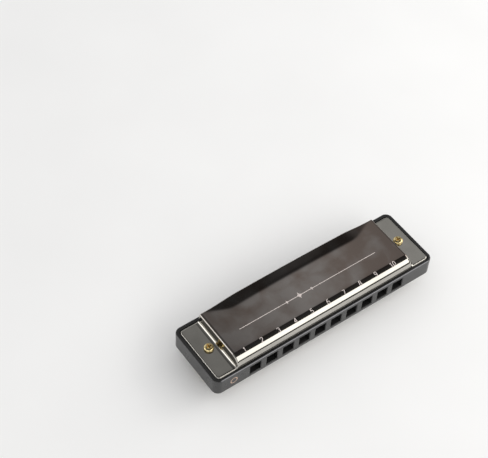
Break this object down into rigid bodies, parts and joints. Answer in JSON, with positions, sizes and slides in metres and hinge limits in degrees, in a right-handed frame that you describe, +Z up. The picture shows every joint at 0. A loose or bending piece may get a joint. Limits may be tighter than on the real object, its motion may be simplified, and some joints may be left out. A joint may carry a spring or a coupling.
{
  "type": "diatonic harmonica",
  "caption": "Small mouth organ: black comb with square mouth holes, mirror-bright pressed covers flared at the back, brass reed plates with free reeds inside, brass screws.",
  "frame": {"origin": "centre of the footprint, on the plane that the lower cover rests on", "axes": "+X along the row of holes from the lowest note to the highest, +Y from the mouth side to the back, +Z up through the top cover"},
  "size_m": [0.1028, 0.0282, 0.0206],
  "materials": {
    "comb_plastic": "black ABS, fine satin",
    "cover_steel": "mirror-polished stainless steel sheet",
    "plate_brass": "rolled, satin",
    "reed_brass": "ground lengthwise",
    "rivet_brass": "bright",
    "screw_steel": "nickel-plated",
    "screw_brass": "bright, brass-plated"
  },
  "bodies": {
    "instrument": {"blow_plate_screws": "screw_steel", "blow_reed_pads": "reed_brass", "blow_reed_plate": "plate_brass", "blow_reed_rivets": "rivet_brass", "bottom_cover": "cover_steel", "comb": "comb_plastic", "cover_nuts": "screw_brass", "cover_screws": "screw_brass", "draw_plate_screws": "screw_steel", "draw_reed_pads": "reed_brass", "draw_reed_plate": "plate_brass", "draw_reed_rivets": "rivet_brass", "top_cover": "cover_steel"},
    "blow_reed_01": {"blow_reed_01": "reed_brass"},
    "blow_reed_02": {"blow_reed_02": "reed_brass"},
    "blow_reed_03": {"blow_reed_03": "reed_brass"},
    "blow_reed_04": {"blow_reed_04": "reed_brass"},
    "blow_reed_05": {"blow_reed_05": "reed_brass"},
    "blow_reed_06": {"blow_reed_06": "reed_brass"},
    "blow_reed_07": {"blow_reed_07": "reed_brass"},
    "blow_reed_08": {"blow_reed_08": "reed_brass"},
    "blow_reed_09": {"blow_reed_09": "reed_brass"},
    "blow_reed_10": {"blow_reed_10": "reed_brass"},
    "draw_reed_01": {"draw_reed_01": "reed_brass"},
    "draw_reed_02": {"draw_reed_02": "reed_brass"},
    "draw_reed_03": {"draw_reed_03": "reed_brass"},
    "draw_reed_04": {"draw_reed_04": "reed_brass"},
    "draw_reed_05": {"draw_reed_05": "reed_brass"},
    "draw_reed_06": {"draw_reed_06": "reed_brass"},
    "draw_reed_07": {"draw_reed_07": "reed_brass"},
    "draw_reed_08": {"draw_reed_08": "reed_brass"},
    "draw_reed_09": {"draw_reed_09": "reed_brass"},
    "draw_reed_10": {"draw_reed_10": "reed_brass"}
  },
  "joints": [
    {"name": "blow_reed_01_swing", "type": "hinge", "parent": "instrument", "child": "blow_reed_01", "pos_m": [-0.03375, 0.0061, 0.01317], "axis": [-1, 0, 0], "range_deg": [-2.5, 3], "stiffness_Nm_per_rad": 0.0399},
    {"name": "blow_reed_02_swing", "type": "hinge", "parent": "instrument", "child": "blow_reed_02", "pos_m": [-0.02625, 0.00543, 0.01317], "axis": [-1, 0, 0], "range_deg": [-2.5, 3], "stiffness_Nm_per_rad": 0.0418},
    {"name": "blow_reed_03_swing", "type": "hinge", "parent": "instrument", "child": "blow_reed_03", "pos_m": [-0.01875, 0.00477, 0.01317], "axis": [-1, 0, 0], "range_deg": [-2.5, 3], "stiffness_Nm_per_rad": 0.0438},
    {"name": "blow_reed_04_swing", "type": "hinge", "parent": "instrument", "child": "blow_reed_04", "pos_m": [-0.01125, 0.0041, 0.01317], "axis": [-1, 0, 0], "range_deg": [-2.5, 3], "stiffness_Nm_per_rad": 0.0461},
    {"name": "blow_reed_05_swing", "type": "hinge", "parent": "instrument", "child": "blow_reed_05", "pos_m": [-0.00375, 0.00343, 0.01317], "axis": [-1, 0, 0], "range_deg": [-2.5, 3], "stiffness_Nm_per_rad": 0.0486},
    {"name": "blow_reed_06_swing", "type": "hinge", "parent": "instrument", "child": "blow_reed_06", "pos_m": [0.00375, 0.00277, 0.01317], "axis": [-1, 0, 0], "range_deg": [-2.5, 3], "stiffness_Nm_per_rad": 0.0514},
    {"name": "blow_reed_07_swing", "type": "hinge", "parent": "instrument", "child": "blow_reed_07", "pos_m": [0.01125, 0.0021, 0.01317], "axis": [-1, 0, 0], "range_deg": [-2.5, 3], "stiffness_Nm_per_rad": 0.0546},
    {"name": "blow_reed_08_swing", "type": "hinge", "parent": "instrument", "child": "blow_reed_08", "pos_m": [0.01875, 0.00143, 0.01317], "axis": [-1, 0, 0], "range_deg": [-2.5, 3], "stiffness_Nm_per_rad": 0.0581},
    {"name": "blow_reed_09_swing", "type": "hinge", "parent": "instrument", "child": "blow_reed_09", "pos_m": [0.02625, 0.00077, 0.01317], "axis": [-1, 0, 0], "range_deg": [-2.5, 3], "stiffness_Nm_per_rad": 0.0622},
    {"name": "blow_reed_10_swing", "type": "hinge", "parent": "instrument", "child": "blow_reed_10", "pos_m": [0.03375, 0.0001, 0.01317], "axis": [-1, 0, 0], "range_deg": [-2.5, 3], "stiffness_Nm_per_rad": 0.0668},
    {"name": "draw_reed_01_swing", "type": "hinge", "parent": "instrument", "child": "draw_reed_01", "pos_m": [-0.03375, -0.0064, 0.00617], "axis": [1, 0, 0], "range_deg": [-2.5, 3], "stiffness_Nm_per_rad": 0.0399},
    {"name": "draw_reed_02_swing", "type": "hinge", "parent": "instrument", "child": "draw_reed_02", "pos_m": [-0.02625, -0.0064, 0.00617], "axis": [1, 0, 0], "range_deg": [-2.5, 3], "stiffness_Nm_per_rad": 0.0418},
    {"name": "draw_reed_03_swing", "type": "hinge", "parent": "instrument", "child": "draw_reed_03", "pos_m": [-0.01875, -0.0064, 0.00617], "axis": [1, 0, 0], "range_deg": [-2.5, 3], "stiffness_Nm_per_rad": 0.0438},
    {"name": "draw_reed_04_swing", "type": "hinge", "parent": "instrument", "child": "draw_reed_04", "pos_m": [-0.01125, -0.0064, 0.00617], "axis": [1, 0, 0], "range_deg": [-2.5, 3], "stiffness_Nm_per_rad": 0.0461},
    {"name": "draw_reed_05_swing", "type": "hinge", "parent": "instrument", "child": "draw_reed_05", "pos_m": [-0.00375, -0.0064, 0.00617], "axis": [1, 0, 0], "range_deg": [-2.5, 3], "stiffness_Nm_per_rad": 0.0486},
    {"name": "draw_reed_06_swing", "type": "hinge", "parent": "instrument", "child": "draw_reed_06", "pos_m": [0.00375, -0.0064, 0.00617], "axis": [1, 0, 0], "range_deg": [-2.5, 3], "stiffness_Nm_per_rad": 0.0514},
    {"name": "draw_reed_07_swing", "type": "hinge", "parent": "instrument", "child": "draw_reed_07", "pos_m": [0.01125, -0.0064, 0.00617], "axis": [1, 0, 0], "range_deg": [-2.5, 3], "stiffness_Nm_per_rad": 0.0546},
    {"name": "draw_reed_08_swing", "type": "hinge", "parent": "instrument", "child": "draw_reed_08", "pos_m": [0.01875, -0.0064, 0.00617], "axis": [1, 0, 0], "range_deg": [-2.5, 3], "stiffness_Nm_per_rad": 0.0581},
    {"name": "draw_reed_09_swing", "type": "hinge", "parent": "instrument", "child": "draw_reed_09", "pos_m": [0.02625, -0.0064, 0.00617], "axis": [1, 0, 0], "range_deg": [-2.5, 3], "stiffness_Nm_per_rad": 0.0622},
    {"name": "draw_reed_10_swing", "type": "hinge", "parent": "instrument", "child": "draw_reed_10", "pos_m": [0.03375, -0.0064, 0.00617], "axis": [1, 0, 0], "range_deg": [-2.5, 3], "stiffness_Nm_per_rad": 0.0668}
  ]
}
